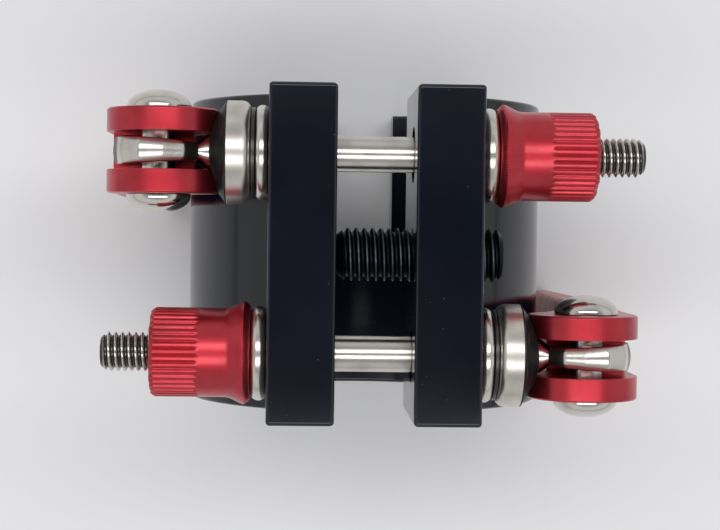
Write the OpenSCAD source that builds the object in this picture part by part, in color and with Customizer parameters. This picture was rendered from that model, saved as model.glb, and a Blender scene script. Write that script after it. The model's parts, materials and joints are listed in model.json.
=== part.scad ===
// Split collar clamp for a round column, lying on its back with its ears up.
// The collar's bore runs along Y. Two quick-release skewers run along X through
// the ears and face opposite ways, and a set screw between them spreads the ears.
// Turning the whole object half a turn about Z swaps the two skewers.

/* [Collar] */
// Outside diameter of the collar ring
ring_d = 60; // [56:1:72]
// Diameter of the column that the bore closes on
bore_d = 46; // [40:0.5:48]
// Length of the collar along its bore
ring_h = 50; // [46:1:64]
// Bevel at both mouths of the bore and around the ring's rims
rim_bevel = 0.8; // [0.3:0.1:1.5]
// Thickness of each clamping ear
ear_t = 10; // [8:0.5:14]
// Distance from the ring's outside up to the ears' flat top
ear_reach = 18; // [17:0.5:26]
// Width of the split between the ears
gap_w = 11.6; // [9:0.2:16]
// Rounding of the ears' long top edges
ear_round = 0.8; // [0.3:0.1:1.5]
// Fillet where an ear's outer face meets the ring
ear_fillet = 2; // [1:0.5:3]
// Width of the relief slot opposite the ears
slot_w = 12; // [8:0.5:16]
// Length of the relief slot from the collar's upper rim
slot_len = 25; // [15:1:30]

/* [Skewers] */
// Distance between the two skewers' axes
skewer_pitch = 30; // [28:0.5:34]
// Distance from the skewers' axes up to the ears' top
skewer_depth = 9; // [8.5:0.5:10]
// Diameter of a skewer's plain shank
shank_d = 5.4; // [5:0.1:5.6]
// Outside diameter of a skewer's thread
skewer_thread_d = 5.9; // [5.8:0.05:6]
// Length of a skewer's thread
skewer_thread_len = 26; // [22:1:28]
// Length of thread that stands out past the nut
thread_out = 7.5; // [3:0.1:10]
// Diameter of the holes for the skewers in the ears
skewer_hole_d = 8.5; // [7.5:0.1:9]
// Radius of the skewer's flattened eye
eye_r = 6.8; // [6:0.1:7.2]
// Thickness of the eye at its free end
eye_t = 4.5; // [4:0.1:5]
// Thickness of the eye where it meets the shank
eye_neck_t = 2.6; // [2:0.1:3.2]

/* [Cam levers] */
// Radius of the round cam that the lever's two cheeks form
cam_r = 8.3; // [8:0.1:9]
// Offset of the cam's centre from its pivot
cam_throw = 0.55; // [0.3:0.05:0.8]
// Width of the lever's fork across both cheeks
fork_w = 12.6; // [12:0.2:14]
// Width of the slot between the cheeks
fork_slot = 5.6; // [5.2:0.1:6]
// Depth of the slot below the pivot
fork_depth = 8.6; // [8:0.1:10]
// Length of the lever from its pivot to its tip
lever_len = 68.5; // [55:0.5:68.5]
// Width of the lever's finger blade
blade_w = 15; // [13:0.5:17]
// Thickness of the finger blade at its tip
blade_t = 4.2; // [3:0.2:5]
// Least distance between the ring's side and the blade of a closed lever
blade_gap = 2.9; // [2:0.1:4]
// Radius of the blade's two tip corners
blade_corner = 3; // [1:0.5:5]
// Diameter of the pivot rivet's shank
pin_d = 5; // [4:0.1:5.5]
// Diameter of the rivet's domed heads
rivet_head_d = 9.6; // [8:0.1:10.5]
// Height of the rivet's domed heads
rivet_head_h = 2.9; // [1.6:0.1:3.2]

/* [Washers and saddle] */
// Diameter of the domed washers against the ears
washer_d = 14.3; // [13:0.1:15]
// Thickness of the domed washer on a skewer's lever side
lever_washer_t = 2.1; // [1.6:0.1:2.6]
// Thickness of the domed washer on a skewer's nut side
nut_washer_t = 2.5; // [1.6:0.1:3]
// Diameter of the thin slip washer
slip_washer_d = 13.6; // [12:0.1:15]
// Thickness of the thin slip washer
slip_washer_t = 0.6; // [0.4:0.1:1]
// Diameter of the cup washer and of the saddle's base
cup_d = 15.5; // [14.5:0.1:16]
// Length of the cup washer along the skewer
cup_len = 3.7; // [3:0.1:4.2]
// Thickness of the cup washer's rim and floor
cup_wall = 1.6; // [1.2:0.1:2]
// Slope of the saddle's conical side, as radius lost per millimetre
saddle_slope = 1.31; // [1:0.01:1.6]
// Thickness of the saddle under the cam
saddle_floor = 1.2; // [0.9:0.1:2]

/* [Barrel nuts] */
// Length of the barrel nut
nut_len = 14.8; // [13:0.1:18]
// Diameter of the nut's barrel
barrel_d = 13.4; // [12:0.1:14]
// Diameter of the nut's flange
flange_d = 15.5; // [14.5:0.1:16.5]
// Length of the flange along the skewer, with its front bevel
flange_len = 1.6; // [1.2:0.1:2.5]
// Radius of the fillet between flange and barrel
flange_fillet = 1.6; // [1:0.1:2]
// Length of the knurled grip
knurl_len = 7.2; // [5:0.1:8]
// Number of straight grooves around the grip
knurl_count = 40; // [24:2:44]
// Depth of the knurl's grooves
knurl_depth = 0.3; // [0.15:0.05:0.4]

/* [Spreader screw] */
// Outside diameter of the set screw's thread
screw_d = 8; // [6:1:8]
// Length of the set screw
screw_len = 25; // [22:1:30]
// Width across the flats of the set screw's socket
socket_af = 4; // [3:0.5:4]
// Depth of the set screw's socket
socket_depth = 4; // [3:0.5:5]

/* [Fits] */
// Radial clearance of a pin or thread that turns in its hole
turning_gap = 0.05; // [0.02:0.01:0.1]
// Radial clearance of washers and saddle on the skewer
washer_gap = 0.3; // [0.2:0.05:0.4]
// Radial clearance of the rivet's shank in the lever's cheeks
cheek_gap = 0.02; // [0.01:0.01:0.05]

/* [Hidden] */
$fn = 96;
eps = 0.01;

// heights above the surface that the ring's back rests on
axis_z = ring_d / 2;
ear_top_z = ring_d + ear_reach;
skewer_z = ear_top_z - skewer_depth;

// stations along a skewer, from the collar's middle towards its lever
ear_x = gap_w / 2 + ear_t;
slip_x = ear_x + lever_washer_t;
cup_x = slip_x + slip_washer_t;
saddle_x = cup_x + cup_len;
saddle_r = cam_r + cam_throw + turning_gap;
pivot_x = saddle_x + saddle_floor + saddle_r;

// stations from the collar's middle towards its nut
nut_x = ear_x + nut_washer_t;
nut_end_x = nut_x + nut_len;
rod_end_x = nut_end_x + thread_out;
knurl_end_bevel = 0.6;
thread_bevel = 0.8;

nut_bore_r = skewer_thread_d / 2 + turning_gap;
washer_bore_r = skewer_thread_d / 2 + washer_gap;

// A cylinder along +X that starts at x
module x_rod(x, length, r) {
    translate([x, 0, 0]) rotate([0, 90, 0]) cylinder(h = length, r = r);
}

// A cylinder along Y, centred on the XZ plane
module y_rod(length, r) {
    rotate([90, 0, 0]) cylinder(h = length, r = r, center = true);
}

// Turns a profile of [x, radius] points into a solid of revolution about X
module x_turned() {
    rotate([0, 90, 0]) mirror([1, 0, 0]) rotate_extrude() children();
}

// Extrudes an outline drawn in X and Z over a width centred on the XZ plane
module y_extruded(width) {
    rotate([90, 0, 0]) linear_extrude(height = width, center = true) children();
}

// Puts one skewer unit, drawn with its lever towards +X, in its place
module placed(unit) {
    turn = unit == "upper" ? 180 : 0;
    rotate([0, 0, turn]) translate([0, -skewer_pitch / 2, skewer_z]) children();
}

// ---- collar ----

module ear_outline(side) {
    ear_top = ring_d / 2 + ear_reach;
    fillet_x = ear_x + ear_fillet;
    fillet_z = sqrt(pow(ring_d / 2 + ear_fillet, 2) - pow(fillet_x, 2));
    mirror([side < 0 ? 1 : 0, 0]) {
        translate([gap_w / 2, 0]) square([ear_t, ear_top - ear_round]);
        translate([gap_w / 2 + ear_round, 0])
            square([ear_t - 2 * ear_round, ear_top]);
        for (x = [gap_w / 2 + ear_round, ear_x - ear_round])
            translate([x, ear_top - ear_round]) circle(r = ear_round);
        difference() {
            polygon([[ear_x - 1, fillet_z], [ear_x, fillet_z], [fillet_x, fillet_z],
                     [ear_x + ear_fillet * 0.9, fillet_z - ear_fillet], [ear_x - 1, 0]]);
            translate([fillet_x, fillet_z]) circle(r = ear_fillet);
        }
    }
}

module clamp_body() {
    wall = (ring_d - bore_d) / 2;
    color([0.11, 0.12, 0.15]) difference() {
        union() {
            translate([0, 0, axis_z]) rotate([90, 0, 0]) union() {
                cylinder(h = ring_h - 2 * rim_bevel, d = ring_d, center = true);
                for (side = [-1, 1]) mirror([0, 0, side < 0 ? 1 : 0])
                    translate([0, 0, ring_h / 2 - rim_bevel - eps])
                        cylinder(h = rim_bevel + eps, r1 = ring_d / 2,
                                 r2 = ring_d / 2 - rim_bevel);
            }
            translate([0, 0, axis_z]) y_extruded(ring_h)
                for (side = [-1, 1]) ear_outline(side);
        }
        translate([0, 0, axis_z]) y_rod(ring_h + 2, bore_d / 2);
        for (turn = [0, 180]) rotate([0, 0, turn])
            translate([0, ring_h / 2 - rim_bevel, axis_z]) rotate([-90, 0, 0])
                cylinder(h = rim_bevel + eps, r1 = bore_d / 2,
                         r2 = bore_d / 2 + rim_bevel + eps);
        translate([-gap_w / 2, -ring_h, axis_z]) cube([gap_w, 2 * ring_h, ring_d]);
        translate([-slot_w / 2, ring_h / 2 - slot_len, -1])
            cube([slot_w, slot_len + 1, axis_z]);
        for (y = [-1, 1] * skewer_pitch / 2) translate([0, y, skewer_z])
            x_rod(-ear_x - 1, 2 * ear_x + 2, skewer_hole_d / 2);
        translate([0, 0, skewer_z]) x_rod(0, ear_x + 1, screw_d / 2 + turning_gap);
    }
}

module spreader_screw() {
    point = 1.2;
    color([0.13, 0.13, 0.14]) translate([-gap_w / 2, 0, skewer_z]) difference() {
        x_turned() polygon([[0, 0], [screw_d / 2 - point, 0], [screw_d / 2, point],
                            [screw_d / 2, screw_len - point / 2],
                            [screw_d / 2 - point / 2, screw_len], [0, screw_len]]);
        translate([screw_len - socket_depth, 0, 0]) rotate([0, 90, 0])
            cylinder(h = socket_depth + 1, d = socket_af / cos(30), $fn = 6);
    }
}

// ---- one skewer unit, lever towards +X ----

module skewer_rod() {
    thread_x = rod_end_x - skewer_thread_len;
    color([0.78, 0.76, 0.72]) difference() {
        union() {
            x_rod(-thread_x, thread_x + pivot_x - eye_r * 0.7, shank_d / 2);
            x_rod(-rod_end_x + thread_bevel, skewer_thread_len - thread_bevel,
                  skewer_thread_d / 2);
            translate([-rod_end_x, 0, 0]) rotate([0, 90, 0])
                cylinder(h = thread_bevel + eps, r1 = skewer_thread_d / 2 - thread_bevel,
                         r2 = skewer_thread_d / 2);
            translate([pivot_x, 0, 0]) intersection() {
                y_rod(eye_t + 1, eye_r);
                translate([0, 0, -eye_r]) linear_extrude(height = 2 * eye_r)
                    polygon([[eye_r, eye_t / 2], [-eye_r, eye_neck_t / 2],
                             [-eye_r, -eye_neck_t / 2], [eye_r, -eye_t / 2]]);
            }
        }
        translate([pivot_x, 0, 0]) y_rod(2 * shank_d, pin_d / 2 + turning_gap);
        for (side = [-1, 1]) mirror([0, side < 0 ? 1 : 0, 0])
            translate([pivot_x, fork_slot, 0])
                cube([2 * eye_r + 4, 2 * fork_slot - eye_t, 2 * eye_r + 4], center = true);
    }
}

module pivot_rivet() {
    brim = 0.4;
    dome_h = rivet_head_h - brim;
    dome_r = (pow(rivet_head_d / 2, 2) + dome_h * dome_h) / (2 * dome_h);
    color([0.82, 0.8, 0.76]) translate([pivot_x, 0, 0]) {
        y_rod(fork_w + 2 * eps, pin_d / 2);
        for (side = [-1, 1]) mirror([0, side < 0 ? 1 : 0, 0])
            translate([0, fork_w / 2, 0]) rotate([-90, 0, 0]) intersection() {
                cylinder(h = rivet_head_h, d = rivet_head_d);
                translate([0, 0, rivet_head_h - dome_r]) sphere(r = dome_r);
            }
    }
}

// The lever's side shape, with its pivot at the origin and its tip downwards
module lever_side() {
    width = blade_w + 2;
    shoulder_z = -fork_depth - 3;
    blade_x = max(0.6, ring_d / 2 + blade_gap - pivot_x);
    outer_x = blade_x + blade_t;
    union() {
        translate([-cam_throw, 0, 0]) y_rod(width, cam_r);
        y_extruded(width)
            polygon([[-cam_r * 0.75, -cam_r * 0.6], [cam_r - cam_throw, 0],
                     [cam_r - cam_throw, shoulder_z], [outer_x + 1.2, -26],
                     [outer_x, -lever_len + 1], [outer_x - 1, -lever_len],
                     [blade_x + 1, -lever_len], [blade_x, -lever_len + 1],
                     [blade_x - 0.6, -26], [-2, -15]]);
    }
}

// The lever's front shape: the fork's width widens into the finger blade
module lever_front() {
    depth = 4 * cam_r;
    tip_z = blade_corner - lever_len;
    union() {
        rotate([90, 0, 90]) linear_extrude(height = depth, center = true)
            polygon([[fork_w / 2, cam_r + 1], [fork_w / 2, -fork_depth - 2],
                     [blade_w / 2, -28], [blade_w / 2, tip_z], [-blade_w / 2, tip_z],
                     [-blade_w / 2, -28], [-fork_w / 2, -fork_depth - 2],
                     [-fork_w / 2, cam_r + 1]]);
        for (y = [-1, 1] * (blade_w / 2 - blade_corner))
            translate([-depth / 2, y, tip_z]) x_rod(0, depth, blade_corner);
        translate([-depth / 2, blade_corner - blade_w / 2, -lever_len])
            cube([depth, blade_w - 2 * blade_corner, blade_corner + 1]);
    }
}

module cam_lever() {
    color([0.78, 0.12, 0.15]) translate([pivot_x, 0, 0]) difference() {
        intersection() {
            lever_side();
            lever_front();
        }
        translate([-2 * cam_r, -fork_slot / 2, -fork_depth])
            cube([4 * cam_r, fork_slot, 3 * cam_r]);
        y_rod(blade_w + 4, pin_d / 2 + cheek_gap);
    }
}

module cam_saddle() {
    spigot_r = cup_d / 2 - cup_wall - turning_gap;
    cone_len = cup_d / 2 / saddle_slope - 1;
    color([0.1, 0.11, 0.11]) difference() {
        union() {
            x_rod(cup_x + cup_wall, saddle_x - cup_x - cup_wall + eps, spigot_r);
            translate([saddle_x, 0, 0]) rotate([0, 90, 0])
                cylinder(h = cone_len, r1 = cup_d / 2,
                         r2 = cup_d / 2 - saddle_slope * cone_len);
        }
        translate([pivot_x, 0, 0]) y_rod(2 * cup_d, saddle_r);
        x_rod(cup_x, cup_d, washer_bore_r);
    }
}

module cup_washer() {
    round_r = 1.4;
    color([0.74, 0.73, 0.7]) difference() {
        union() {
            x_rod(cup_x, cup_len, cup_d / 2 - round_r);
            x_rod(cup_x + round_r, cup_len - round_r, cup_d / 2);
            translate([cup_x + round_r, 0, 0]) rotate([0, 90, 0]) rotate_extrude()
                translate([cup_d / 2 - round_r, 0]) circle(r = round_r);
        }
        x_rod(cup_x - 1, cup_len + 2, washer_bore_r);
        x_rod(cup_x + cup_wall, cup_len, cup_d / 2 - cup_wall);
    }
}

// A flat ring with a rounded rim
module domed_washer(x, thickness) {
    rim = thickness / 2;
    color([0.76, 0.75, 0.72]) difference() {
        union() {
            x_rod(x, thickness, washer_d / 2 - rim);
            translate([x + rim, 0, 0]) rotate([0, 90, 0]) rotate_extrude()
                translate([washer_d / 2 - rim, 0]) circle(r = rim);
        }
        x_rod(x - 1, thickness + 2, washer_bore_r);
    }
}

module lever_side_washer() {
    domed_washer(ear_x, lever_washer_t);
}

module slip_washer() {
    color([0.3, 0.3, 0.31]) difference() {
        x_rod(slip_x, slip_washer_t, slip_washer_d / 2);
        x_rod(slip_x - 1, slip_washer_t + 2, washer_bore_r);
    }
}

module nut_side_washer() {
    domed_washer(-nut_x, nut_washer_t);
}

module barrel_nut() {
    front_bevel = 0.6;
    barrel_r = barrel_d / 2;
    flange_r = flange_d / 2;
    fillet_r = flange_r - barrel_r;
    groove_r = knurl_depth * 1.2;
    color([0.78, 0.12, 0.15]) mirror([1, 0, 0]) difference() {
        union() {
            x_rod(nut_x, nut_len - knurl_end_bevel, barrel_r);
            translate([nut_end_x - knurl_end_bevel - eps, 0, 0]) rotate([0, 90, 0])
                cylinder(h = knurl_end_bevel + eps, r1 = barrel_r,
                         r2 = barrel_r - knurl_end_bevel);
            translate([nut_x, 0, 0]) rotate([0, 90, 0])
                cylinder(h = front_bevel + eps, r1 = flange_r - front_bevel, r2 = flange_r);
            x_rod(nut_x + front_bevel, flange_len - front_bevel, flange_r);
            translate([nut_x + flange_len - eps, 0, 0]) rotate([0, 90, 0])
                cylinder(h = flange_fillet, r1 = flange_r, r2 = flange_r - fillet_r);
        }
        x_rod(nut_x - 1, nut_len + 2, nut_bore_r);
        for (i = [0 : knurl_count - 1]) rotate([360 * i / knurl_count, 0, 0])
            translate([0, 0, barrel_r + groove_r - knurl_depth])
                x_rod(nut_end_x - knurl_len, knurl_len + 1, groove_r);
    }
}

clamp_body();
spreader_screw();
placed("upper") skewer_rod();  // upper_skewer_rod
placed("upper") pivot_rivet();  // upper_pivot_rivet
placed("upper") cam_lever();  // upper_cam_lever
placed("upper") cam_saddle();  // upper_cam_saddle
placed("upper") cup_washer();  // upper_cup_washer
placed("upper") slip_washer();  // upper_slip_washer
placed("upper") lever_side_washer();  // upper_lever_side_washer
placed("upper") nut_side_washer();  // upper_nut_side_washer
placed("upper") barrel_nut();  // upper_barrel_nut
placed("lower") skewer_rod();  // lower_skewer_rod
placed("lower") pivot_rivet();  // lower_pivot_rivet
placed("lower") cam_lever();  // lower_cam_lever
placed("lower") cam_saddle();  // lower_cam_saddle
placed("lower") cup_washer();  // lower_cup_washer
placed("lower") slip_washer();  // lower_slip_washer
placed("lower") lever_side_washer();  // lower_lever_side_washer
placed("lower") nut_side_washer();  // lower_nut_side_washer
placed("lower") barrel_nut();  // lower_barrel_nut
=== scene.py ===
"""Looks of a split collar clamp with two quick-release skewers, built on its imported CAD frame.

Sizes are in millimetres until a piece is made, and places come from the frame's own nodes."""
import json
import math

import bmesh
import bpy
import numpy as np
from mathutils import Euler, Matrix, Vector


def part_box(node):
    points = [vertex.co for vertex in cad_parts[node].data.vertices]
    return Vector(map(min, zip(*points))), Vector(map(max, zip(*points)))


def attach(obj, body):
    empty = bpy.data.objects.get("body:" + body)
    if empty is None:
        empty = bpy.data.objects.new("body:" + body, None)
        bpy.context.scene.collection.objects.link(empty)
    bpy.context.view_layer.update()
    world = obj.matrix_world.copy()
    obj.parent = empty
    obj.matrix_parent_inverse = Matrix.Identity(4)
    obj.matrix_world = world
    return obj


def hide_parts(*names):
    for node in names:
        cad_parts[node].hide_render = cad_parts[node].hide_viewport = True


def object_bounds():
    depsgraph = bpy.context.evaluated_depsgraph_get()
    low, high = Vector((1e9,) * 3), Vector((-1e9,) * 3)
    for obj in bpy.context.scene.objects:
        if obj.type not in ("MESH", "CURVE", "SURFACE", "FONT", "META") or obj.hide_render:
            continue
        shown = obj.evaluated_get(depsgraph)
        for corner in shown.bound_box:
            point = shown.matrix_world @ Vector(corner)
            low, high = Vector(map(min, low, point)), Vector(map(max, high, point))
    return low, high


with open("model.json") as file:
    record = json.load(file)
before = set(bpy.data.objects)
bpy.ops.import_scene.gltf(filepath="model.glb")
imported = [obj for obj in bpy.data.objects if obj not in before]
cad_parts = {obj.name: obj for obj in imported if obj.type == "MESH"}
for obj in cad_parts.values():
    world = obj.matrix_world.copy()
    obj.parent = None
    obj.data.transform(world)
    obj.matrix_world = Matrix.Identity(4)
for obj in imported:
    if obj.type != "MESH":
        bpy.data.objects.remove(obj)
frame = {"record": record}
cad_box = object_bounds()

# ---- Camera, table and lights ----
# The clamp lies on its back on a pale table. The camera hangs almost straight above it, and two
# long soft lights run along the skewers, one on each side of the camera. This section is in metres.

camera_data = bpy.data.cameras.new("camera")
camera_data.sensor_width = 36
camera_data.lens = 82.0
camera_data.clip_start = 0.01
camera = bpy.data.objects.new("camera", camera_data)
camera.location = (-0.0110, 0.0040, 0.3155)
camera.rotation_euler = Euler([math.radians(a) for a in (-1.335, -2.07, 0.76)])
bpy.context.scene.collection.objects.link(camera)
bpy.context.scene.camera = camera
bpy.context.scene.view_settings.view_transform = "Standard"


def node_tree(owner):
    """The owner's emptied node tree, with short ways to add a node and to join two sockets."""
    owner.use_nodes = True
    tree = owner.node_tree
    tree.nodes.clear()

    def add(kind, **values):
        node = tree.nodes.new(kind)
        for name, value in values.items():
            if hasattr(node, name):
                setattr(node, name, value)
            else:
                node.inputs[name.replace("_", " ")].default_value = value
        return node

    return add, tree.links.new


def table_material():
    """Pale matt card: a very faint cloudy tone and a fine tooth in the bump."""
    material = bpy.data.materials.new("pale_card")
    add, join = node_tree(material)
    place = add("ShaderNodeTexCoord")
    clouds = add("ShaderNodeTexNoise", Scale=3.0, Detail=4.0)
    tone = add("ShaderNodeValToRGB")
    tone.color_ramp.elements[0].color = (0.74, 0.74, 0.75, 1)
    tone.color_ramp.elements[1].color = (0.82, 0.82, 0.825, 1)
    tooth = add("ShaderNodeTexNoise", Scale=1800.0, Detail=3.0)
    bump = add("ShaderNodeBump", Strength=0.08, Distance=0.0002)
    shader = add("ShaderNodeBsdfPrincipled", Roughness=0.75)
    out = add("ShaderNodeOutputMaterial")
    join(place.outputs["Object"], clouds.inputs["Vector"])
    join(place.outputs["Object"], tooth.inputs["Vector"])
    join(clouds.outputs["Fac"], tone.inputs["Fac"])
    join(tone.outputs["Color"], shader.inputs["Base Color"])
    join(tooth.outputs["Fac"], bump.inputs["Height"])
    join(bump.outputs["Normal"], shader.inputs["Normal"])
    join(shader.outputs["BSDF"], out.inputs["Surface"])
    return material


table_mesh = bpy.data.meshes.new("table")
table_mesh.from_pydata([(-2, -2, 0), (2, -2, 0), (2, 2, 0), (-2, 2, 0)], [], [(0, 1, 2, 3)])
table = bpy.data.objects.new("table", table_mesh)
table.location.z = cad_box[0].z
table.data.materials.append(table_material())
bpy.context.scene.collection.objects.link(table)

# Each light is a strip 0.8 m long above the object, tilted to face it.
for name, side in (("strip_light_near", -1), ("strip_light_far", 1)):
    strip = bpy.data.lights.new(name, "AREA")
    strip.shape = "RECTANGLE"
    strip.size = 0.8
    strip.size_y = 0.17
    strip.energy = 1.9
    lamp = bpy.data.objects.new(name, strip)
    lamp.location = (0, side * 0.20, 0.68)
    lamp.rotation_euler = (math.radians(-side * 18), 0, 0)
    bpy.context.scene.collection.objects.link(lamp)

# The room is bright near the horizon and dim straight above, as under a dark ceiling.
world = bpy.data.worlds.new("room")
bpy.context.scene.world = world
add, join = node_tree(world)
direction = add("ShaderNodeTexCoord")
split = add("ShaderNodeSeparateXYZ")
height = add("ShaderNodeValToRGB")
height.color_ramp.elements[0].position = 0.5
height.color_ramp.elements[0].color = (0.74, 0.745, 0.76, 1)
height.color_ramp.elements[1].position = 0.965
height.color_ramp.elements[1].color = (0.03, 0.031, 0.035, 1)
room = add("ShaderNodeBackground", Strength=1.0)
out = add("ShaderNodeOutputWorld")
join(direction.outputs["Generated"], split.inputs["Vector"])
join(split.outputs["Z"], height.inputs["Fac"])
join(height.outputs["Color"], room.inputs["Color"])
join(room.outputs["Background"], out.inputs["Surface"])

# ---- Collar ----
# One billet of aluminium, sawn through between the ears, with a relief slot milled through its
# back from the upper rim. Every rim is rounded, and the whole is blasted and anodised black.


def span(node):
    """Lowest and highest corner of a CAD node, in millimetres."""
    low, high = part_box(node)
    return np.array(low) * 1000, np.array(high) * 1000


def grid_faces(rows, cols, wrap_rows=False, wrap_cols=False):
    """Quads of a grid: each point is joined to the next row and column, round the ends if wrapped."""
    r = np.arange(rows if wrap_rows else rows - 1)
    c = np.arange(cols if wrap_cols else cols - 1)
    r, c = np.meshgrid(r, c, indexing="ij")
    r2, c2 = (r + 1) % rows, (c + 1) % cols
    quads = np.stack([r * cols + c, r * cols + c2, r2 * cols + c2, r2 * cols + c], -1)
    return quads.reshape(-1, 4)


def settle(mesh, sharp=32):
    """Merges doubled points, turns every face outwards and keeps only real corners sharp."""
    work = bmesh.new()
    work.from_mesh(mesh)
    bmesh.ops.remove_doubles(work, verts=work.verts, dist=2e-6)
    bmesh.ops.dissolve_degenerate(work, edges=work.edges, dist=1e-7)
    bmesh.ops.recalc_face_normals(work, faces=work.faces)
    work.to_mesh(mesh)
    work.free()
    mesh.polygons.foreach_set("use_smooth", np.ones(len(mesh.polygons), bool))
    mesh.set_sharp_from_angle(angle=math.radians(sharp))
    mesh.update()


def shell(name, *surfaces):
    """An object from one or more surfaces, each a pair of points in millimetres and faces."""
    points, faces, start = [], [], 0
    for surface_points, surface_faces in surfaces:
        surface_points = np.asarray(surface_points, float).reshape(-1, 3)
        points.append(surface_points)
        faces += [[int(i) + start for i in face] for face in surface_faces]
        start += len(surface_points)
    mesh = bpy.data.meshes.new(name)
    mesh.from_pydata((np.concatenate(points) / 1000).tolist(), [], faces)
    settle(mesh)
    thing = bpy.data.objects.new(name, mesh)
    bpy.context.scene.collection.objects.link(thing)
    return thing


def apply_modifiers(thing):
    """Bakes the object's modifiers into its mesh."""
    seen = thing.evaluated_get(bpy.context.evaluated_depsgraph_get())
    mesh = bpy.data.meshes.new_from_object(seen)
    thing.modifiers.clear()
    thing.data = mesh


def carve(thing, cutters):
    """Cuts each cutter out of the object and removes the cutter."""
    for cutter in cutters:
        cut = thing.modifiers.new("cut", "BOOLEAN")
        cut.operation = "DIFFERENCE"
        cut.solver = "EXACT"
        cut.object = cutter
    apply_modifiers(thing)
    for cutter in cutters:
        bpy.data.objects.remove(cutter)


def round_edges(thing, width, segments, limit=40):
    """Rounds every corner sharper than the limit, to the width in millimetres."""
    edge = thing.modifiers.new("edge", "BEVEL")
    edge.limit_method = "ANGLE"
    edge.angle_limit = math.radians(limit)
    edge.width = width / 1000
    edge.segments = segments
    apply_modifiers(thing)
    settle(thing.data)


def flatten_shading(thing):
    """Keeps large flat faces flat where a rounded edge meets them."""
    weigh = thing.modifiers.new("weigh", "WEIGHTED_NORMAL")
    weigh.keep_sharp = True
    weigh.weight = 80


def finish_piece(thing, body, node, material):
    """Gives the piece its material, hangs it under its body's empty and hides the CAD node it stands
    for.
    """
    thing.data.materials.clear()
    thing.data.materials.append(material)
    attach(thing, body)
    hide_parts(node)


def box_cutter(low, high):
    """A box from its lowest to its highest corner."""
    corners = [(x, y, z) for x in (low[0], high[0]) for y in (low[1], high[1])
               for z in (low[2], high[2])]
    faces = [(0, 1, 3, 2), (4, 6, 7, 5), (0, 4, 5, 1), (2, 3, 7, 6), (0, 2, 6, 4), (1, 5, 7, 3)]
    return shell("cutter", (corners, faces))


def turned(profile, cols, wrap=True, axis="x", centre=(0, 0, 0)):
    """A profile of (station, radius) points carried round an axis: angle is the second parameter."""
    profile = np.asarray(profile, float)
    angle = np.arange(cols) * 2 * np.pi / cols
    station = np.repeat(profile[:, :1], cols, 1)
    across = profile[:, 1:2] * np.cos(angle)
    up = profile[:, 1:2] * np.sin(angle)
    order = (station, across, up) if axis == "x" else (up, station, across)
    return np.stack(order, -1) + np.array(centre, float), grid_faces(len(profile), cols, wrap, True)


def arc(centre, radius, start, end, count=7):
    """Points of a circular arc, with angles in degrees from the first axis."""
    angle = np.radians(np.linspace(start, end, count))
    return [(centre[0] + radius * math.cos(a), centre[1] + radius * math.sin(a)) for a in angle]


collar_high = span("clamp_body")[1]
rim_y = collar_high[1]
ring_r = collar_high[0]
ear_reach = collar_high[2] - ring_r
bore = next(m for m in frame["record"]["mounts"] if m["name"] == "column_bore")
bore_r = bore["dims"]["r_mm"]
gap_half = -span("spreader_screw")[0][0]
ear_x = span("lower_lever_side_washer")[0][0]
nut_low, nut_high = span("upper_barrel_nut")
skewer_y = (nut_low[1] + nut_high[1]) / 2
skewer_z = (nut_low[2] + nut_high[2]) / 2
ear_fillet = 2.0
skewer_hole_r = 4.25
screw_hole_r = 4.05
relief_half = 6.0
relief_end_y = 0.0


def collar_section(ring_steps=240, fillet_steps=9):
    """Matched inner and outer edge points: down one ear, once round the ring, up the other ear.

    The ring parts are circles about the bore. The outer edge leaves the ear on a fillet arc whose
    circle touches both the ear's face and the ring."""
    fillet_x = ear_x + ear_fillet
    fillet_z = math.sqrt((ring_r + ear_fillet) ** 2 - fillet_x ** 2)
    leave = math.asin(gap_half / bore_r)
    meet = math.atan2(fillet_x, fillet_z)
    swing = np.linspace(np.pi, 1.5 * np.pi - meet, fillet_steps)
    fillet = np.stack([fillet_x + ear_fillet * np.cos(swing), fillet_z + ear_fillet * np.sin(swing)], -1)
    part = np.linspace(leave, leave + 0.2, fillet_steps)
    start = np.stack([bore_r * np.sin(part), bore_r * np.cos(part)], -1)
    inner_turn = np.linspace(leave + 0.2, 2 * np.pi - leave - 0.2, ring_steps)[1:-1]
    outer_turn = np.linspace(meet, 2 * np.pi - meet, ring_steps)[1:-1]
    inner = np.concatenate([
        [(gap_half, ear_reach)], start,
        np.stack([bore_r * np.sin(inner_turn), bore_r * np.cos(inner_turn)], -1),
        start[::-1] * (-1, 1), [(-gap_half, ear_reach)]])
    outer = np.concatenate([
        [(ear_x, ear_reach)], fillet,
        np.stack([ring_r * np.sin(outer_turn), ring_r * np.cos(outer_turn)], -1),
        fillet[::-1] * (-1, 1), [(-ear_x, ear_reach)]])
    return inner, outer


def collar_surface():
    """The section carried straight from the lower rim to the upper one, closed at the ears' tops."""
    inner, outer = collar_section()
    rows = []
    for edge, y in ((inner, -rim_y), (outer, -rim_y), (outer, rim_y), (inner, rim_y)):
        rows.append(np.stack([edge[:, 0], np.full(len(edge), y), edge[:, 1] + ring_r], -1))
    grid = np.stack(rows, 1)
    faces = grid_faces(len(inner), 4, wrap_cols=True).tolist()
    last = 4 * (len(inner) - 1)
    faces += [[0, 3, 2, 1], [last, last + 1, last + 2, last + 3]]
    return grid, faces


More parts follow.
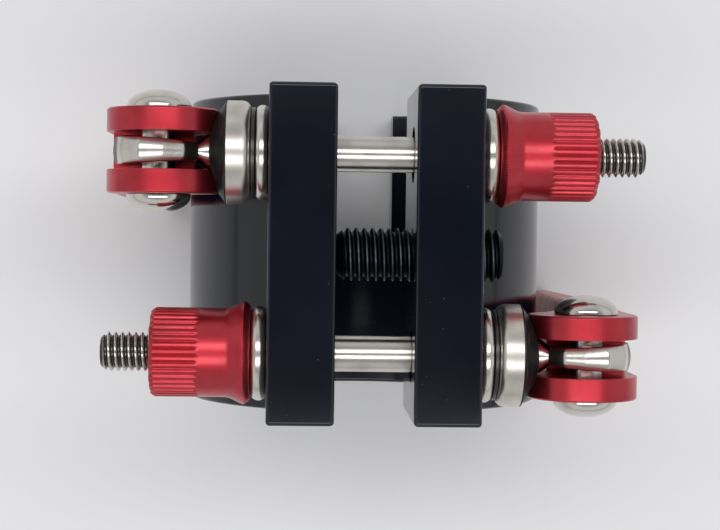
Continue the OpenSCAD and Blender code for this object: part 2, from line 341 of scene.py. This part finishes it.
def black_anodised():
    """Blasted aluminium, dyed black: a blue-black tone, fine grain, soft patches in the gloss,
    and a few pale dust specks."""
    material = bpy.data.materials.new("black_anodised_aluminium")
    add, join = node_tree(material)
    place = add("ShaderNodeTexCoord")
    cloud = add("ShaderNodeTexNoise", Scale=60.0, Detail=5.0)
    tone = add("ShaderNodeValToRGB")
    tone.color_ramp.elements[0].position = 0.3
    tone.color_ramp.elements[0].color = (0.0035, 0.0048, 0.0092, 1)
    tone.color_ramp.elements[1].position = 0.75
    tone.color_ramp.elements[1].color = (0.0060, 0.0078, 0.0140, 1)
    speck = add("ShaderNodeTexVoronoi", Scale=420.0, Randomness=1.0)
    pick = add("ShaderNodeMapRange", From_Min=0.045, From_Max=0.03, To_Min=0.0, To_Max=0.5)
    dusty = add("ShaderNodeMix", data_type="RGBA")
    dusty.inputs[7].default_value = (0.10, 0.11, 0.12, 1)
    grain = add("ShaderNodeTexNoise", Scale=6500.0, Detail=2.0)
    dent = add("ShaderNodeBump", Strength=0.05, Distance=0.00003)
    gloss = add("ShaderNodeMapRange", To_Min=0.08, To_Max=0.14)
    shader = add("ShaderNodeBsdfPrincipled", Metallic=0.0, IOR=1.48)
    out = add("ShaderNodeOutputMaterial")
    for node in (cloud, speck, grain):
        join(place.outputs["Object"], node.inputs["Vector"])
    join(cloud.outputs["Fac"], tone.inputs["Fac"])
    join(speck.outputs["Distance"], pick.inputs["Value"])
    join(pick.outputs["Result"], dusty.inputs["Factor"])
    join(tone.outputs["Color"], dusty.inputs[6])
    join(dusty.outputs[2], shader.inputs["Base Color"])
    join(cloud.outputs["Fac"], gloss.inputs["Value"])
    join(gloss.outputs["Result"], shader.inputs["Roughness"])
    join(grain.outputs["Fac"], dent.inputs["Height"])
    join(dent.outputs["Normal"], shader.inputs["Normal"])
    join(shader.outputs["BSDF"], out.inputs["Surface"])
    return material


def hole_cutter(x, length, radius, y):
    """A cylinder along X for a drilled hole, closed at both ends."""
    profile = [(x, 0), (x, radius), (x + length, radius), (x + length, 0)]
    return shell("cutter", turned(profile, 64, wrap=False, centre=(0, y, skewer_z)))


collar = shell("collar_body", collar_surface())
round_edges(collar, 0.8, 4)
carve(collar, [
    hole_cutter(-ear_x - 1, 2 * ear_x + 2, skewer_hole_r, skewer_y),
    hole_cutter(-ear_x - 1, 2 * ear_x + 2, skewer_hole_r, -skewer_y),
    hole_cutter(1, ear_x, screw_hole_r, 0),
    box_cutter((-relief_half, relief_end_y, -1), (relief_half, rim_y + 1, ring_r)),
])
round_edges(collar, 0.3, 2)
flatten_shading(collar)
finish_piece(collar, "clamp", "clamp_body", black_anodised())

# ---- Spreader screw ----
# A black set screw in the right-hand ear. Its coned point pushes on the other ear's inner face,
# and its hexagonal socket faces outwards. The thread is rolled and the steel blackened in oil.


def thread_radius(x, angle, crest_r, lead, depth=1.0):
    """Radius of a right-hand thread at a station and angle.

    The phase is the station less the angle's share of the lead. From the narrow crest a straight
    flank falls to a rounded root, 0.54 of the lead below it."""
    phase = (x / lead - angle / (2 * np.pi)) % 1
    away = np.abs(phase - 0.5) * 2
    fall = np.clip((away - 0.14) / 0.66, 0, 1)
    eased = fall - np.sin(2 * np.pi * fall) / (2 * np.pi) * 0.35
    return crest_r - 0.5413 * lead * eased * depth


def hexagon_radius(angle, flats):
    """Distance from a hexagon's middle to its side, at an angle."""
    return flats / 2 / np.cos((angle + np.pi / 6) % (np.pi / 3) - np.pi / 6)


def round_surface(station, radius, centre=(0, 0, 0), wrap=False):
    """Skin about X from grids of station and radius: rows go along it, columns go round it."""
    rows, cols = np.broadcast_shapes(station.shape, radius.shape)
    angle = np.arange(cols) * 2 * np.pi / cols
    station = np.broadcast_to(station, (rows, cols))
    points = np.stack([station, radius * np.cos(angle), radius * np.sin(angle)], -1)
    return points + np.array(centre, float), grid_faces(rows, cols, wrap, True)


screw_low, screw_high = span("spreader_screw")
screw_r = (screw_high[1] - screw_low[1]) / 2
screw_lead = 1.25
screw_point = 1.2
screw_end_bevel = 0.7
socket_flats = 4.0
socket_depth = 4.0


def spreader_surface(cols=96, steps_per_turn=20):
    """Thread between a coned point and a bevelled end, then the socket's walls and floor."""
    length = screw_high[0] - screw_low[0]
    along = np.linspace(0, length, int(length / screw_lead * steps_per_turn))[:, None]
    angle = np.arange(cols)[None, :] * 2 * np.pi / cols
    thread = thread_radius(along, angle, screw_r, screw_lead)
    thread = np.minimum(thread, screw_r - screw_point + along * 0.8)
    thread = np.minimum(thread, screw_r - screw_end_bevel + (length - along) * 0.9)
    hexagon = hexagon_radius(angle, socket_flats)
    zero = np.zeros((1, cols))
    start = [(0.25, zero), (0, zero + screw_r - screw_point - 0.4)]
    finish = [(length, hexagon + 0.15), (length - 0.15, hexagon), (length - socket_depth, hexagon),
              (length - socket_depth - 0.8, zero)]
    station = np.concatenate([zero + s for s, _ in start]
                             + [np.broadcast_to(along, thread.shape)] + [zero + s for s, _ in finish])
    radius = np.concatenate([r for _, r in start] + [thread] + [r for _, r in finish])
    return round_surface(station + screw_low[0], radius, (0, 0, skewer_z))


def turned_metal(name, colour, roughness, wear, scale, centre, bump=0.12, coat=0.0, root_r=0.0):
    """Metal cut on a lathe: rings of fine lines, soft patches in the tone and gloss.

    The lines' noise reads only the station along X and the distance from the X axis through the
    centre, so they run round that axis. Inside root_r, in millimetres, the base colour is darkened
    to an eighth: painted shade in a thread's roots. Where root_r lies just under the crests, as on
    the set screw, only the crests keep the full tone, as worn metal."""
    material = bpy.data.materials.new(name)
    add, join = node_tree(material)
    place = add("ShaderNodeTexCoord")
    middle = add("ShaderNodeMapping", Location=tuple(-c / 1000 for c in centre))
    parts = add("ShaderNodeSeparateXYZ")
    across = add("ShaderNodeCombineXYZ")
    reach = add("ShaderNodeVectorMath", operation="LENGTH")
    ring = add("ShaderNodeCombineXYZ")
    lines = add("ShaderNodeTexNoise", Scale=scale, Detail=3.0, Roughness=0.6)
    patch = add("ShaderNodeTexNoise", Scale=230.0, Detail=4.0)
    worn = add("ShaderNodeMapRange", From_Min=0.45, From_Max=0.75)
    tone = add("ShaderNodeMix", data_type="RGBA")
    tone.inputs[6].default_value = (*colour, 1)
    tone.inputs[7].default_value = (*[c * (1 - wear) for c in colour], 1)
    gloss = add("ShaderNodeMapRange", To_Min=roughness * 0.7, To_Max=roughness * 1.35)
    dent = add("ShaderNodeBump", Strength=bump, Distance=0.00003)
    # Painted shade: the base colour is scaled down to 0.12 inside root_r from the X axis.
    root_shade_and_crest_wear = add("ShaderNodeMapRange", From_Min=(root_r - 0.15) / 1000, From_Max=(root_r + 0.1) / 1000,
                To_Min=0.12 if root_r else 1.0, To_Max=1.0)
    shade = add("ShaderNodeVectorMath", operation="SCALE")
    shader = add("ShaderNodeBsdfPrincipled", Metallic=1.0, Coat_Weight=coat, Coat_Roughness=0.22)
    out = add("ShaderNodeOutputMaterial")
    join(reach.outputs["Value"], root_shade_and_crest_wear.inputs["Value"])
    join(root_shade_and_crest_wear.outputs["Result"], shade.inputs["Scale"])
    join(tone.outputs[2], shade.inputs[0])
    join(shade.outputs["Vector"], shader.inputs["Base Color"])
    join(place.outputs["Object"], middle.inputs["Vector"])
    join(middle.outputs["Vector"], parts.inputs["Vector"])
    join(parts.outputs["Y"], across.inputs["Y"])
    join(parts.outputs["Z"], across.inputs["Z"])
    join(across.outputs["Vector"], reach.inputs[0])
    join(parts.outputs["X"], ring.inputs["X"])
    join(reach.outputs["Value"], ring.inputs["Y"])
    join(ring.outputs["Vector"], lines.inputs["Vector"])
    join(place.outputs["Object"], patch.inputs["Vector"])
    join(patch.outputs["Fac"], worn.inputs["Value"])
    join(worn.outputs["Result"], tone.inputs["Factor"])
    join(patch.outputs["Fac"], gloss.inputs["Value"])
    join(gloss.outputs["Result"], shader.inputs["Roughness"])
    join(lines.outputs["Fac"], dent.inputs["Height"])
    join(dent.outputs["Normal"], shader.inputs["Normal"])
    join(shader.outputs["BSDF"], out.inputs["Surface"])
    return material


screw = shell("set_screw_thread", spreader_surface())
# Below its crests the black oxide is darkened: painted shade on the flanks and roots, with the crests
# left bright as worn metal.
finish_piece(screw, "set_screw", "spreader_screw",
             turned_metal("black_oxide", (0.075, 0.09, 0.11), 0.45, 0.75, 5200, (0, 0, skewer_z),
                          root_r=screw_r - 0.12))

# ---- Skewer rods ----
# Forged and nickel-plated steel. The end in the lever is pressed flat into a wedge-sided eye, the
# middle is a plain shank, and the far end carries a rolled thread with a bevelled tip.

skewers = {"upper": skewer_y, "lower": -skewer_y}
rod_low, rod_high = span("lower_skewer_rod")
rivet_low, rivet_high = span("lower_pivot_rivet")
rod_end = -rod_low[0]
pivot_x = (rivet_low[0] + rivet_high[0]) / 2
eye_r = rod_high[0] - pivot_x
thread_r = 2.95
thread_len = 26.0
thread_lead = 1.0
shank_r = 2.7
eye_half = 2.25
eye_neck_half = 1.3
eye_hole_r = 2.55
eye_flat_angle = math.radians(82.5)
tip_bevel = 0.8
thread_runout = 1.6


def lever_side(unit):
    """Which way along X a unit's lever stands: the upper unit is turned half round."""
    return -1 if unit == "upper" else 1


def seated(surface, unit):
    """Places a surface drawn with its lever towards +X on its own skewer's axis."""
    points, faces = surface
    side = lever_side(unit)
    return points * (side, side, 1) + (0, -side * skewer_y, skewer_z), faces


def rod_surface(cols=64, steps_per_turn=18):
    """Thread with a bevelled tip, a run-out to the plain shank, and a neck pressed to an oval.

    The oval's width shrinks and its height grows on one smooth step until it is inside the eye."""
    turns_end = thread_len - rod_end
    along = np.concatenate([np.linspace(-rod_end, turns_end, int(thread_len * steps_per_turn)),
                            np.linspace(turns_end, pivot_x - 8, 24)[1:],
                            np.linspace(pivot_x - 8, pivot_x - 4, 14)[1:]])[:, None]
    angle = np.arange(cols)[None, :] * 2 * np.pi / cols
    depth = np.clip((turns_end - along) / thread_runout, 0, 1)
    crest_r = shank_r + (thread_r - shank_r) * np.clip(depth * 2, 0, 1)
    radius = thread_radius(along, angle, crest_r, thread_lead, depth)
    radius = np.minimum(radius, thread_r - tip_bevel + (along + rod_end) * 0.9)
    press = np.clip((along - (pivot_x - 7.4)) / 2.4, 0, 1)
    press = press * press * (3 - 2 * press)
    wide = radius * (1 + (eye_neck_half / shank_r - 1) * press)
    tall = radius * (1 + 0.12 * press)
    points = np.stack([np.broadcast_to(along, radius.shape), wide * np.cos(angle),
                       tall * np.sin(angle)], -1)
    tip = points[:1] * 0 + (-rod_end, 0, 0)
    heel = points[-1:] * 0 + (pivot_x - 3.5, 0, 0)
    points = np.concatenate([tip, points, heel])
    return points, grid_faces(len(points), cols, wrap_cols=True)


def eye_surface(cols=144):
    """A profile of (reach, share of the half width) carried round the rivet's axis.

    The half width grows in a straight line from the neck to the free end. The rim is crowned, and
    forged into twelve flats: its reach is the flats' distance over the cosine of the angle from
    the nearest flat's middle."""
    corner = [(eye_r - 0.75 + 0.35 * math.cos(a), 0.86 + 0.14 * math.sin(a))
              for a in np.radians(np.linspace(90, 15, 6))]
    crown = [(eye_r - 0.4 * (s / 0.88) ** 2, s) for s in np.linspace(0.86, 0, 7)]
    outer = corner + crown
    profile = np.array([(eye_hole_r, -0.94), (eye_hole_r, 0.94), (eye_hole_r + 0.15, 1), *outer,
                        *[(r, -s) for r, s in outer[-2::-1]], (eye_hole_r + 0.15, -1)])
    angle = np.arange(cols) * 2 * np.pi / cols
    off = (angle - eye_flat_angle + np.pi / 12) % (np.pi / 6) - np.pi / 12
    reach = profile[:, :1] * np.where(profile[:, :1] > 4, math.cos(np.pi / 12) / np.cos(off), 1)
    x = reach * np.cos(angle)
    z = reach * np.sin(angle)
    half = (eye_half + eye_neck_half) / 2 + (eye_half - eye_neck_half) / 2 * x / eye_r
    points = np.stack([x + pivot_x, profile[:, 1:2] * half, z], -1)
    return points, grid_faces(len(profile), cols, True, True)


def nickel(name, axis_y, roughness=0.2, scale=2600, root_r=0.0):
    """Nickel plate over steel: a warm grey-white metal with fine turning lines."""
    return turned_metal(name, (0.62, 0.59, 0.54), roughness, 0.28, scale, (0, axis_y, skewer_z),
                        root_r=root_r)


for unit, axis_y in skewers.items():
    rod = shell(unit + "_rod", seated(rod_surface(), unit), seated(eye_surface(), unit))
    # Within 2.62 mm of its axis the nickel is darkened: painted shade in the thread's roots and on the
    # pressed neck.
    finish_piece(rod, unit + "_skewer", unit + "_skewer_rod",
                 nickel(unit + "_rod_nickel", axis_y, 0.24, root_r=2.62))

# ---- Washers ----
# Three loose rings on each skewer: a domed nickel-plated one on each ear, and between the first
# and the cup a thin dark slip washer, which lets the cup turn.

washer_hole_r = 3.25


def domed_profile(start, end, outer_r):
    """Closed section of a ring whose rim is half an ellipse, with small bevels at the hole."""
    half = (end - start) / 2
    rim = [(start + half + half * math.cos(a), outer_r - half * 0.95 + half * 0.95 * math.sin(a))
           for a in np.radians(np.linspace(180, 0, 15))]
    return [(start, washer_hole_r + 0.3), *rim, (end, washer_hole_r + 0.3),
            (end - 0.3, washer_hole_r), (start + 0.3, washer_hole_r)]


def flat_profile(start, end, outer_r, edge):
    """Closed section of a flat ring with its edges rounded."""
    return [(start, washer_hole_r + edge), *arc((start + edge, outer_r - edge), edge, 180, 90, 4),
            *arc((end - edge, outer_r - edge), edge, 90, 0, 4), (end, washer_hole_r + edge),
            (end - edge, washer_hole_r), (start + edge, washer_hole_r)]


def ring_span(node):
    """A ring's start and end along its skewer, measured from the collar's middle, and its radius."""
    low, high = span(node)
    start, end = sorted((abs(low[0]), abs(high[0])))
    return start, end, (high[2] - low[2]) / 2


def along_skewer(profile, unit, side, cols=96):
    """A closed profile turned about a skewer, on its lever side (+1) or its nut side (-1)."""
    points, faces = turned(profile, cols)
    return seated((points * (side, 1, 1), faces), unit)


for unit, axis_y in skewers.items():
    for place, side, body in (("lever_side_washer", 1, "clamp"),
                              ("nut_side_washer", -1, unit + "_washer")):
        node = unit + "_" + place
        washer = shell(node + "_ring", along_skewer(domed_profile(*ring_span(node)), unit, side))
        finish_piece(washer, body, node, nickel(node + "_nickel", axis_y, 0.24, 3200))
    node = unit + "_slip_washer"
    slip = shell(node + "_ring", along_skewer(flat_profile(*ring_span(node), 0.12), unit, 1))
    finish_piece(slip, "clamp", node,
                 turned_metal(node + "_steel", (0.07, 0.068, 0.065), 0.35, 0.3, 3000,
                              (0, axis_y, skewer_z)))

# ---- Cups and cam saddles ----
# The cup is a turned nickel-plated dish, open towards the lever. The moulded black saddle stands
# in it: a cone with a hollow cut across its end, in which the lever's round cheeks turn.

cup_wall = 1.6
cup_back_round = 1.4
saddle_slope = 1.31
saddle_floor = 1.2


def cup_profile(start, end, outer_r):
    """Closed section of the dish: rounded back, crisp lip, flat floor with a hole."""
    lip = 0.15
    inner_r = outer_r - cup_wall
    return [(start, washer_hole_r + 0.15),
            *arc((start + cup_back_round, outer_r - cup_back_round), cup_back_round, 180, 90, 9),
            (end - lip, outer_r), (end, outer_r - lip), (end, inner_r + lip), (end - lip, inner_r),
            (start + cup_wall + 0.2, inner_r), (start + cup_wall, inner_r - 0.2),
            (start + cup_wall, washer_hole_r + 0.15), (start + cup_wall - 0.15, washer_hole_r),
            (start + 0.15, washer_hole_r)]


def saddle_profile(cup_start, cup_end, outer_r):
    """Closed section of the saddle before its hollow is cut: spigot, thin base lip, cone, bore."""
    spigot_r = outer_r - cup_wall - 0.05
    cone = outer_r / saddle_slope - 1
    return [(cup_start + cup_wall, washer_hole_r), (cup_start + cup_wall, spigot_r),
            (cup_end, spigot_r), (cup_end, outer_r - 0.12), (cup_end + 0.12, outer_r - 0.02),
            (cup_end + 0.35, outer_r - 0.12 - 0.35 * saddle_slope * 0.8),
            (cup_end + cone, outer_r - saddle_slope * cone), (cup_end + cone, washer_hole_r - 0.5),
            (cup_end + 1, washer_hole_r)]


def moulded_black(name):
    """Black acetal: a soft sheen, fine scuffs in crossing directions and a little pale dust."""
    material = bpy.data.materials.new(name)
    add, join = node_tree(material)
    place = add("ShaderNodeTexCoord")
    turn = add("ShaderNodeMapping", Rotation=(0.6, 0.3, 0.5), Scale=(1.0, 0.06, 0.06))
    scuff = add("ShaderNodeTexNoise", Scale=5200.0, Detail=2.0)
    pick = add("ShaderNodeMapRange", From_Min=0.60, From_Max=0.72)
    cloud = add("ShaderNodeTexNoise", Scale=500.0, Detail=4.0)
    tone = add("ShaderNodeMix", data_type="RGBA")
    tone.inputs[6].default_value = (0.005, 0.006, 0.007, 1)
    tone.inputs[7].default_value = (0.045, 0.052, 0.055, 1)
    gloss = add("ShaderNodeMapRange", To_Min=0.4, To_Max=0.6)
    dent = add("ShaderNodeBump", Strength=0.25, Distance=0.00003)
    shader = add("ShaderNodeBsdfPrincipled", IOR=1.36)
    out = add("ShaderNodeOutputMaterial")
    join(place.outputs["Object"], turn.inputs["Vector"])
    join(turn.outputs["Vector"], scuff.inputs["Vector"])
    join(place.outputs["Object"], cloud.inputs["Vector"])
    join(scuff.outputs["Fac"], pick.inputs["Value"])
    join(pick.outputs["Result"], tone.inputs["Factor"])
    join(tone.outputs[2], shader.inputs["Base Color"])
    join(cloud.outputs["Fac"], gloss.inputs["Value"])
    join(gloss.outputs["Result"], shader.inputs["Roughness"])
    join(scuff.outputs["Fac"], dent.inputs["Height"])
    join(dent.outputs["Normal"], shader.inputs["Normal"])
    join(shader.outputs["BSDF"], out.inputs["Surface"])
    return material


for unit, axis_y in skewers.items():
    cup_node = unit + "_cup_washer"
    cup_start, cup_end, cup_r = ring_span(cup_node)
    cup = shell(cup_node + "_dish", along_skewer(cup_profile(cup_start, cup_end, cup_r), unit, 1))
    finish_piece(cup, unit + "_skewer", cup_node,
                 nickel(cup_node + "_nickel", axis_y, 0.3, 2200))
    saddle = shell(unit + "_saddle_cone",
                   along_skewer(saddle_profile(cup_start, cup_end, cup_r), unit, 1))
    hollow_r = pivot_x - cup_end - saddle_floor
    hollow = turned([(-12, 0), (-12, hollow_r), (12, hollow_r), (12, 0)], 160, False, "y",
                    (pivot_x, 0, 0))
    carve(saddle, [shell("cutter", seated(hollow, unit))])
    round_edges(saddle, 0.12, 2)
    finish_piece(saddle, unit + "_skewer", unit + "_cam_saddle",
                 moulded_black(unit + "_saddle_acetal"))

# ---- Cam levers ----
# Milled aluminium, anodised bright red. Two round cheeks stand off the pivot's centre on both
# sides of the skewer's eye, and below them the body narrows into a flat finger blade.

fork_low, fork_high = span("lower_cam_lever")
fork_half = 6.3
blade_half = (fork_high[1] - fork_low[1]) / 2
lever_top = fork_high[2] - skewer_z
lever_tip = skewer_z - fork_low[2]
cam_x = -0.55
fork_depth = 8.6
fork_slot_half = 2.8
tip_corner = 3.0
lever_nose = 2.0


def lever_edges(count=150):
    """The side shape's two edges on one falling list of heights, from the cam's top to the tip.

    Above the pivot both are the cam's circle. Below, each runs on straight legs to the blade, and
    the blade ends in a half ellipse."""
    z = np.concatenate([lever_top * np.cos(np.linspace(0, np.pi / 2, 40)),
                        np.linspace(0, lever_nose - lever_tip, count)[1:],
                        lever_nose - lever_tip
                        - lever_nose * np.sin(np.linspace(0, np.pi / 2, 14))[1:]])
    circle = np.sqrt(np.clip(lever_top ** 2 - z ** 2, 0, None))
    inner = np.interp(-z, [5, 15, 26, 67.5, 90], [-6.2, -2, 0, 0.6, 0.6], left=9)
    outer = np.interp(-z, [0, 11.6, 26, 67.5, 90], [7.75, 7.75, 6.0, 4.8, 4.8])
    outer = np.where(z > 0, cam_x + circle, outer)
    inner = np.where(circle > 0, np.minimum(inner, cam_x - circle), inner)
    inner = np.where(z > 0, cam_x - circle, inner)
    middle, half = (inner + outer) / 2, (outer - inner) / 2
    end = np.clip((z + lever_tip) / lever_nose, 0, 1)
    half = half * np.where(end < 1, np.sqrt(1 - (1 - end) ** 2), 1)
    return z, middle - half, middle + half


def lever_surface():
    """Rim loops that step in along the outline's normal as they rise to each flat side.

    The side's half width widens from fork to blade, and its tip corners are arcs. The rim's
    rounding grows from a broken edge at the fork to a soft edge on the blade."""
    z, inner, outer = lever_edges()
    outline = np.concatenate([np.stack([inner, z], -1), np.stack([outer, z], -1)[-2:0:-1]])
    count = len(outline)
    ahead, behind = np.roll(outline, -1, 0), np.roll(outline, 1, 0)
    along = ahead - behind
    normal = np.stack([-along[:, 1], along[:, 0]], -1)
    normal /= np.linalg.norm(normal, axis=1, keepdims=True)
    # Each normal is averaged with its neighbours, so the rounding stays even where the legs bend.
    for _ in range(3):
        normal = np.roll(normal, 1, 0) + 2 * normal + np.roll(normal, -1, 0)
        normal /= np.linalg.norm(normal, axis=1, keepdims=True)
    soft = np.interp(-outline[:, 1], [9, 26, 66, 68.5], [0.35, 1.25, 1.25, 0.9])
    side = []
    for turn in np.radians(np.linspace(90, 0, 6)):
        shape = outline + normal * (soft * (1 - math.cos(turn)))[:, None]
        half = np.interp(-shape[:, 1], [10.6, 28], [fork_half, blade_half])
        past = np.clip(tip_corner - (shape[:, 1] + lever_tip), 0, tip_corner)
        half = half - tip_corner + np.sqrt(tip_corner ** 2 - past ** 2)
        half = half - soft * (1 - math.sin(turn))
        side.append(np.stack([shape[:, 0], half, shape[:, 1]], -1))
    grid = np.stack(side + [ring * (1, -1, 1) for ring in side[::-1]])
    faces = grid_faces(len(grid), count, wrap_cols=True).tolist()
    # Each flat side is closed by strips between the two edges at one height.
    left = np.arange(len(z))
    right = (count - left) % count
    for base in (0, (len(grid) - 1) * count):
        for i in range(len(z) - 1):
            quad = [base + int(v) for v in (left[i], left[i + 1], right[i + 1], right[i])]
            quad = list(dict.fromkeys(quad))
            if len(quad) > 2:
                faces.append(quad)
    return grid.reshape(-1, 3) + (pivot_x, 0, 0), faces


def red_anodised(name, centre, scale=2400, bump=0.08):
    """Dyed, sealed aluminium: deep red metal with fine machined lines and paler patches."""
    return turned_metal(name, (0.47, 0.028, 0.042), 0.38, 0.25, scale, centre, bump,
                        coat=0.5)


for unit, axis_y in skewers.items():
    lever = shell(unit + "_lever_body", seated(lever_surface(), unit))
    gap = box_cutter((-14, -fork_slot_half, -fork_depth), (14, fork_slot_half, 20))
    side = lever_side(unit)
    gap.data.transform(Matrix.Translation((side * pivot_x / 1000, axis_y / 1000, skewer_z / 1000)))
    carve(lever, [gap])
    round_edges(lever, 0.3, 3, 50)
    flatten_shading(lever)
    finish_piece(lever, unit + "_lever", unit + "_cam_lever",
                 red_anodised(unit + "_lever_red", (side * pivot_x, axis_y, skewer_z)))

# ---- Pivot rivets ----
# A plated rivet through both cheeks and the eye, with a low domed head pressed on each side.

rivet_pin_r = 2.5
rivet_brim = 0.35


def rivet_profile():
    """Half section from one dome's top to the other's: each dome is half an ellipse on a brim."""
    head_r = (rivet_high[0] - rivet_low[0]) / 2
    top = (rivet_high[1] - rivet_low[1]) / 2
    rise = top - fork_half - rivet_brim
    dome = [(top - rise + rise * math.cos(a), head_r * math.sin(a))
            for a in np.linspace(0, math.pi / 2, 24)]
    edge = [(fork_half + 0.15, head_r), (fork_half, head_r - 0.15), (fork_half, rivet_pin_r)]
    half = dome + edge
    return half + [(-x, r) for x, r in half[::-1]]


for unit, axis_y in skewers.items():
    rivet = shell(unit + "_rivet_domes",
                  seated(turned(rivet_profile(), 96, False, "y", (pivot_x, 0, 0)), unit))
    finish_piece(rivet, unit + "_lever", unit + "_pivot_rivet",
                 nickel(unit + "_rivet_nickel", axis_y, 0.17, 1500))

# ---- Barrel nuts ----
# Turned aluminium, anodised red: a flange whose rim is finely notched, a hollow neck, a smooth
# barrel and a grip with forty straight grooves. The skewer's thread runs through it.

nut_start = -nut_high[0] if nut_high[0] < 0 else nut_low[0]
nut_end = nut_start + nut_high[0] - nut_low[0]
nut_bore_r = 3.0
flange_r = (nut_high[2] - nut_low[2]) / 2
barrel_r = 6.7
neck_len = 2.9
grip_len = 7.0
groove_count = 40
groove_depth = 0.3
groove_unevenness = 0.14
notch_count = 120
notch_depth = 0.14


def nut_surface(cols=480):
    """Rows of (station, radius, share of notch, share of groove); the columns carry the waves.

    A notch or groove is a smooth wave of the angle: sharp at its floor and broad at its crest."""
    rows = [(nut_start, nut_bore_r + 0.25, 0, 0), (nut_start, flange_r - 0.85, 0, 0),
            (nut_start + 0.1, flange_r - 0.68, 0.5, 0), (nut_start + 0.45, flange_r - 0.3, 1, 0),
            (nut_start + 0.8, flange_r - 0.05, 0.5, 0), (nut_start + 0.95, flange_r, 0, 0)]
    for t in np.linspace(0, 1, 14)[1:]:
        fall = t * t * (3 - 2 * t) * 0.6 + math.sin(t * math.pi / 2) * 0.4
        rows.append((nut_start + 0.95 + neck_len * t, flange_r - (flange_r - barrel_r) * fall, 0, 0))
    grip = nut_end - grip_len
    rows += [(s, barrel_r, 0, 0) for s in np.linspace(nut_start + 1.2 + neck_len, grip - 0.3, 8)]
    rows += [(grip + s, barrel_r, 0, share) for s, share in ((-0.12, 0.08), (0, 0.3), (0.15, 0.7),
                                                             (0.35, 1))]
    rows += [(s, barrel_r, 0, 1) for s in np.linspace(grip + 0.8, nut_end - 0.7, 8)]
    rows += [(nut_end - 0.6, barrel_r - 0.02, 0, 1), (nut_end - 0.3, barrel_r - 0.3, 0, 0.5),
             (nut_end - 0.08, barrel_r - 0.54, 0, 0.1), (nut_end, barrel_r - 0.7, 0, 0),
             (nut_end, nut_bore_r + 0.4, 0, 0), (nut_end - 0.4, nut_bore_r, 0, 0),
             (nut_start + 0.25, nut_bore_r, 0, 0)]
    station, radius, notch, groove = (np.array(v)[:, None] for v in zip(*rows))
    angle = np.arange(cols)[None, :] * 2 * np.pi / cols
    fine = (0.5 + 0.5 * np.cos(angle * notch_count)) * notch_depth
    coarse = (0.5 + 0.5 * np.cos(angle * groove_count)) ** 2.4 * groove_depth
    groove_number = np.round(angle * groove_count / 2 / np.pi)
    at_groove_end = (groove > 0) * (groove < 1)
    uneven = groove_unevenness * np.sin(groove_number * 2.4) * at_groove_end
    radius = radius - notch * fine - groove * coarse
    return round_surface(-(station + uneven), radius, wrap=True)


for unit, axis_y in skewers.items():
    nut = shell(unit + "_nut_turned", seated(nut_surface(), unit))
    finish_piece(nut, unit + "_nut", unit + "_barrel_nut",
                 red_anodised(unit + "_nut_red", (0, axis_y, skewer_z), 1900, 0.14))
